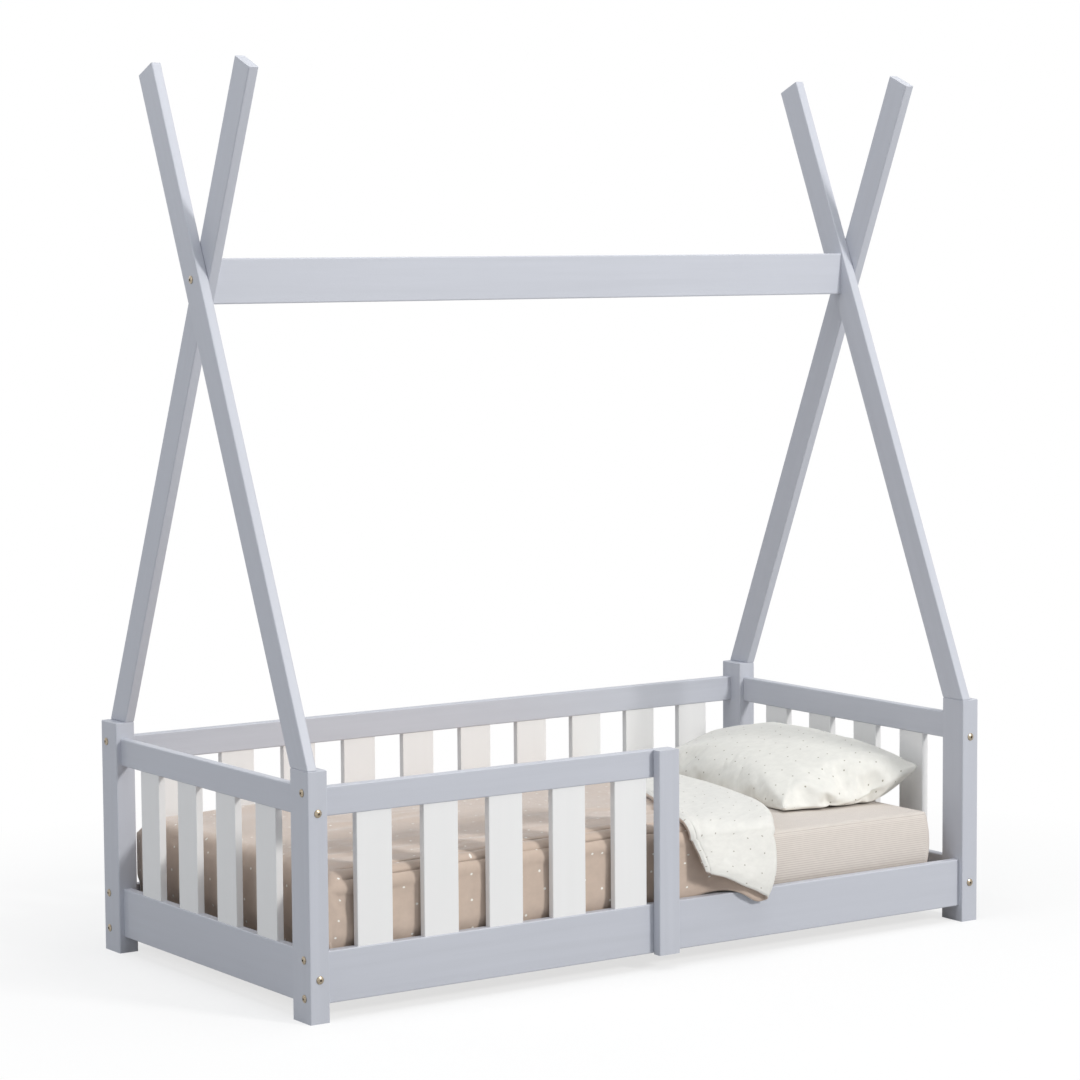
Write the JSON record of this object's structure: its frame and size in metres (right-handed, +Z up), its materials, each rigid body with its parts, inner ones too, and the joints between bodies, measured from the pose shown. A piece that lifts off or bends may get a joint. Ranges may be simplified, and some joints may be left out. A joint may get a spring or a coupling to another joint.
{
  "type": "teepee bed",
  "caption": "Low child's bed with slatted sides, an open half at the front, crossed poles at both ends and a ridge board, made up with mattress, duvet and pillow.",
  "frame": {"origin": "on the floor, at the middle of the bed's length and of its overall width", "axes": "+Z up; +X along the bed towards the pillow; +Y across the bed, away from the side with the open half"},
  "size_m": [1.4856, 0.7758, 1.6252],
  "materials": {
    "frame_paint": "satin grey-lavender paint on softwood",
    "slat_paint": "satin white paint on softwood",
    "base_wood": "bare planed softwood",
    "dowel_wood": "bare fluted hardwood",
    "fastener_metal": "yellow zinc plate",
    "mattress_foam": "knitted cover on foam",
    "sheet_fabric": "cream cotton with fine stripes",
    "duvet_fabric": "taupe cotton with small white dots, off-white on the other side",
    "pillow_fabric": "off-white cotton with small grey dots"
  },
  "bodies": {
    "bed_frame": {"back_bottom_rail": "frame_paint", "back_ledge": "base_wood", "back_slat_1": "slat_paint", "back_slat_10": "slat_paint", "back_slat_2": "slat_paint", "back_slat_3": "slat_paint", "back_slat_4": "slat_paint", "back_slat_5": "slat_paint", "back_slat_6": "slat_paint", "back_slat_7": "slat_paint", "back_slat_8": "slat_paint", "back_slat_9": "slat_paint", "back_top_rail": "frame_paint", "base_slat_screws": "fastener_metal", "base_slats": "base_wood", "end_rail_bolts": "fastener_metal", "end_rail_nuts": "fastener_metal", "foot_bottom_rail": "frame_paint", "foot_slat_1": "slat_paint", "foot_slat_2": "slat_paint", "foot_slat_3": "slat_paint", "foot_slat_4": "slat_paint", "foot_top_rail": "frame_paint", "front_bottom_rail": "frame_paint", "front_guard_rail": "frame_paint", "front_ledge": "base_wood", "guard_slat_1": "slat_paint", "guard_slat_2": "slat_paint", "guard_slat_3": "slat_paint", "guard_slat_4": "slat_paint", "guard_slat_5": "slat_paint", "head_bottom_rail": "frame_paint", "head_slat_1": "slat_paint", "head_slat_2": "slat_paint", "head_slat_3": "slat_paint", "head_slat_4": "slat_paint", "head_top_rail": "frame_paint", "ledge_screws": "fastener_metal", "long_rail_bolts": "fastener_metal", "long_rail_nuts": "fastener_metal", "mid_post": "frame_paint", "mid_post_screws": "fastener_metal", "pole_dowels": "dowel_wood", "pole_foot_back": "frame_paint", "pole_foot_front": "frame_paint", "pole_head_back": "frame_paint", "pole_head_front": "frame_paint", "post_foot_back": "frame_paint", "post_foot_front": "frame_paint", "post_head_back": "frame_paint", "post_head_front": "frame_paint", "rail_dowels": "dowel_wood", "ridge_board": "frame_paint", "ridge_bolts": "fastener_metal", "ridge_nuts": "fastener_metal"},
    "mattress": {"mattress_core": "mattress_foam", "fitted_sheet": "sheet_fabric"},
    "duvet": {"duvet": "duvet_fabric"},
    "pillow": {"pillow": "pillow_fabric"}
  },
  "joints": [
    {"name": "mattress_lift", "type": "slide", "parent": "bed_frame", "child": "mattress", "axis": [0, 0, 1], "range_m": [0, 0.32]},
    {"name": "duvet_lift", "type": "slide", "parent": "mattress", "child": "duvet", "axis": [0, 0, 1], "range_m": [0, 0.25]},
    {"name": "pillow_lift", "type": "slide", "parent": "mattress", "child": "pillow", "axis": [0, 0, 1], "range_m": [0, 0.25]}
  ]
}
